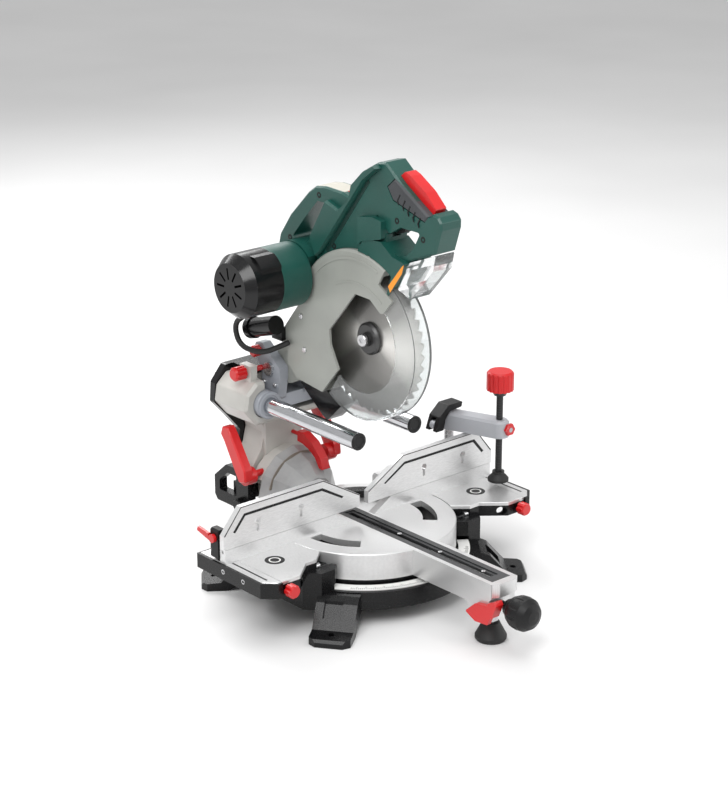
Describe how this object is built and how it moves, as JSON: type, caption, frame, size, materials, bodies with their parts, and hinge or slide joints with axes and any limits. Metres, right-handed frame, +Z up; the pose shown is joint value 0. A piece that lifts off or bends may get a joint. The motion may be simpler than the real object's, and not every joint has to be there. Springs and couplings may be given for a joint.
{
  "type": "sliding compound mitre saw",
  "caption": "Sliding mitre saw: round turntable with front arm, split tables and fences, tilting column with twin rails, belt-driven guarded blade on a chop arm, D-handle and work clamp.",
  "frame": {"origin": "centre of the turntable at bench height, which is also the centre of the bench bolt holes", "axes": "+Z up along the turntable axis, -Y forward to the operator, +X to the operator's right"},
  "size_m": [0.514, 0.6, 0.6298],
  "materials": {
    "black_plastic": "satin moulded",
    "gloss_black": "gloss",
    "black_metal": "satin paint",
    "green_plastic": "satin moulded",
    "red_plastic": "satin moulded",
    "grip_rubber": "soft, ribbed",
    "black_rubber": "soft",
    "cast_aluminium": "machined top",
    "base_casting": "black coated casting",
    "guard_casting": "painted casting",
    "column_casting": "painted casting",
    "carriage_casting": "painted casting",
    "chrome_tube": "polished",
    "steel": "brushed",
    "saw_steel": "ground",
    "clear_plastic": "clear",
    "scale_white": "printed",
    "grey_plastic": "satin"
  },
  "bodies": {
    "base": {"base_frame": "base_casting", "table_tops": "cast_aluminium", "mitre_scale": "scale_white", "lower_fences": "cast_aluminium", "fence_bridge": "base_casting", "fence_posts": "base_casting", "pivot_bolt": "steel"},
    "left_extension": {"left_extension_plate": "cast_aluminium", "left_end_rail": "black_plastic", "left_extension_rods": "steel"},
    "right_extension": {"right_extension_plate": "cast_aluminium", "right_end_rail": "black_plastic", "right_extension_rods": "steel"},
    "left_extension_lock": {"left_extension_knob": "red_plastic"},
    "right_extension_lock": {"right_extension_knob": "red_plastic"},
    "left_fence": {"left_upper_fence": "cast_aluminium"},
    "right_fence": {"right_upper_fence": "cast_aluminium"},
    "left_fence_lock": {"left_fence_lever": "red_plastic"},
    "right_fence_lock": {"right_fence_lever": "red_plastic"},
    "clamp_column": {"clamp_post": "steel"},
    "clamp_swing_arm": {"clamp_arm": "guard_casting"},
    "clamp_quick_lever": {"clamp_lever": "black_plastic"},
    "clamp_foot": {"clamp_pad": "black_rubber"},
    "clamp_screw": {"clamp_spindle": "steel"},
    "turntable": {"turntable": "cast_aluminium", "kerf_insert": "black_plastic", "tilt_bracket": "base_casting", "tilt_shaft": "steel"},
    "detent": {"detent_lever": "red_plastic"},
    "mitre_lock": {"mitre_knob": "black_plastic"},
    "support_foot": {"foot_pad": "black_rubber", "foot_stud": "steel"},
    "tilting_column": {"column": "column_casting", "column_cover": "gloss_black", "guide_tubes": "chrome_tube", "rear_bracket": "black_metal"},
    "bevel_lock": {"bevel_levers": "red_plastic"},
    "bevel_stop": {"bevel_stop_lever": "red_plastic"},
    "slide_lock": {"slide_lock_knob": "red_plastic"},
    "slide_carriage": {"carriage": "carriage_casting", "slide_bushes": "black_plastic", "hinge_pin": "steel"},
    "transport_lock": {"transport_pin": "red_plastic"},
    "head": {"upper_guard": "guard_casting", "belt_case": "green_plastic", "motor_housing": "green_plastic", "motor_cap": "gloss_black", "head_housing": "green_plastic", "handle_grip": "grip_rubber", "dust_chute": "gloss_black", "front_shield": "clear_plastic", "drive_belt": "black_rubber", "power_cable": "black_rubber"},
    "guard_shell": {"lower_guard": "clear_plastic"},
    "saw_blade": {"arbor": "steel", "blade": "saw_steel"},
    "motor_rotor": {"armature": "steel"},
    "switch_trigger": {"trigger": "black_plastic"},
    "switch_lock": {"lock_bar": "red_plastic"},
    "lamp_switch": {"light_button": "red_plastic"}
  },
  "joints": [
    {"name": "left_extension_slide", "type": "slide", "parent": "base", "child": "left_extension", "axis": [-1, 0, 0], "range_m": [0, 0.06]},
    {"name": "right_extension_slide", "type": "slide", "parent": "base", "child": "right_extension", "axis": [1, 0, 0], "range_m": [0, 0.06]},
    {"name": "left_extension_lock_turn", "type": "hinge", "parent": "base", "child": "left_extension_lock", "pos_m": [-0.218, -0.1, 0.082], "axis": [0, 1, 0], "range_deg": [-90, 90]},
    {"name": "right_extension_lock_turn", "type": "hinge", "parent": "base", "child": "right_extension_lock", "pos_m": [0.218, -0.1, 0.082], "axis": [0, 1, 0], "range_deg": [-90, 90]},
    {"name": "left_fence_slide", "type": "slide", "parent": "base", "child": "left_fence", "axis": [-1, 0, 0], "range_m": [0, 0.05]},
    {"name": "right_fence_slide", "type": "slide", "parent": "base", "child": "right_fence", "axis": [1, 0, 0], "range_m": [0, 0.05]},
    {"name": "left_fence_lock_turn", "type": "hinge", "parent": "base", "child": "left_fence_lock", "pos_m": [-0.25, 0.022, 0.128], "axis": [1, 0, 0], "range_deg": [0, 60]},
    {"name": "right_fence_lock_turn", "type": "hinge", "parent": "base", "child": "right_fence_lock", "pos_m": [0.25, 0.022, 0.128], "axis": [1, 0, 0], "range_deg": [0, 60]},
    {"name": "clamp_height", "type": "slide", "parent": "base", "child": "clamp_column", "axis": [0, 0, 1], "range_m": [0, 0.04]},
    {"name": "clamp_swing", "type": "hinge", "parent": "clamp_column", "child": "clamp_swing_arm", "pos_m": [0.201, 0.039, 0.187], "axis": [0, 0, 1], "range_deg": [-60, 25]},
    {"name": "clamp_quick_release", "type": "hinge", "parent": "clamp_swing_arm", "child": "clamp_quick_lever", "pos_m": [0.172, 0.039, 0.184], "axis": [0, -1, 0], "range_deg": [0, 70]},
    {"name": "detent_release", "type": "hinge", "parent": "turntable", "child": "detent", "pos_m": [-0.024, -0.262, 0.056], "axis": [1, 0, 0], "range_deg": [0, 6]},
    {"name": "mitre_lock_turn", "type": "hinge", "parent": "turntable", "child": "mitre_lock", "pos_m": [0, -0.29, 0.059], "axis": [0, 1, 0], "range_deg": [-180, 180]},
    {"name": "bevel_lock_turn", "type": "hinge", "parent": "tilting_column", "child": "bevel_lock", "pos_m": [0, 0.17, 0.128], "axis": [1, 0, 0], "range_deg": [0, 40]},
    {"name": "slide_lock_turn", "type": "hinge", "parent": "tilting_column", "child": "slide_lock", "pos_m": [0.06, 0.182, 0.284], "axis": [1, 0, 0], "range_deg": [-180, 180]},
    {"name": "rail_slide", "type": "slide", "parent": "tilting_column", "child": "slide_carriage", "axis": [0, -1, 0], "range_m": [0, 0.19]},
    {"name": "transport_pin_pull", "type": "slide", "parent": "slide_carriage", "child": "transport_lock", "axis": [-1, 0, 0], "range_m": [0, 0.008]},
    {"name": "chop", "type": "hinge", "parent": "slide_carriage", "child": "head", "pos_m": [0, 0.168, 0.285], "axis": [1, 0, 0], "range_deg": [0, 51], "stiffness_Nm_per_rad": 10, "springref_deg": -110},
    {"name": "guard_retract", "type": "hinge", "parent": "head", "child": "guard_shell", "pos_m": [0, -0.015, 0.369], "axis": [1, 0, 0], "range_deg": [-126, 0]},
    {"name": "blade_spin", "type": "hinge", "parent": "head", "child": "saw_blade", "pos_m": [0, -0.015, 0.369], "axis": [1, 0, 0], "continuous": true},
    {"name": "motor_spin", "type": "hinge", "parent": "head", "child": "motor_rotor", "pos_m": [-0.06, 0.115, 0.44], "axis": [1, 0, 0], "continuous": true},
    {"name": "trigger_squeeze", "type": "hinge", "parent": "head", "child": "switch_trigger", "pos_m": [0, -0.052, 0.566], "axis": [-1, 0, 0], "range_deg": [0, 8], "stiffness_Nm_per_rad": 0.3, "springref_deg": -15},
    {"name": "clamp_pad_travel", "type": "slide", "parent": "clamp_swing_arm", "child": "clamp_foot", "axis": [0, 0, 1], "range_m": [-0.0085, 0.0445]},
    {"name": "clamp_screw_turn", "type": "hinge", "parent": "clamp_foot", "child": "clamp_screw", "pos_m": [0.23, -0.038, 0.187], "axis": [0, 0, 1], "range_deg": [-720, 3960]},
    {"name": "support_foot_height", "type": "slide", "parent": "turntable", "child": "support_foot", "axis": [0, 0, 1], "range_m": [0, 0.003]},
    {"name": "mitre", "type": "hinge", "parent": "base", "child": "turntable", "pos_m": [0, 0, 0], "axis": [0, 0, 1], "range_deg": [-47, 47]},
    {"name": "bevel", "type": "hinge", "parent": "turntable", "child": "tilting_column", "pos_m": [0, 0.15, 0.095], "axis": [0, 1, 0], "range_deg": [-33, 2]},
    {"name": "bevel_stop_turn", "type": "hinge", "parent": "tilting_column", "child": "bevel_stop", "pos_m": [0.017, 0.17, 0.172], "axis": [0, 1, 0], "range_deg": [0, 12]},
    {"name": "lock_bar_press", "type": "slide", "parent": "head", "child": "switch_lock", "axis": [0, 0.5058, -0.8627], "range_m": [0, 0.0018], "stiffness_N_per_m": 400, "springref_m": -0.003},
    {"name": "lamp_button_press", "type": "slide", "parent": "head", "child": "lamp_switch", "axis": [0, 0, -1], "range_m": [0, 0.0015], "stiffness_N_per_m": 400, "springref_m": -0.003}
  ],
  "couplings": [
    {"joint": "clamp_pad_travel", "follows": "clamp_screw_turn", "m_per_rad": 0.00063662},
    {"joint": "guard_retract", "follows": "chop", "ratio": -2.47},
    {"joint": "motor_spin", "follows": "blade_spin", "ratio": 2.3333}
  ]
}
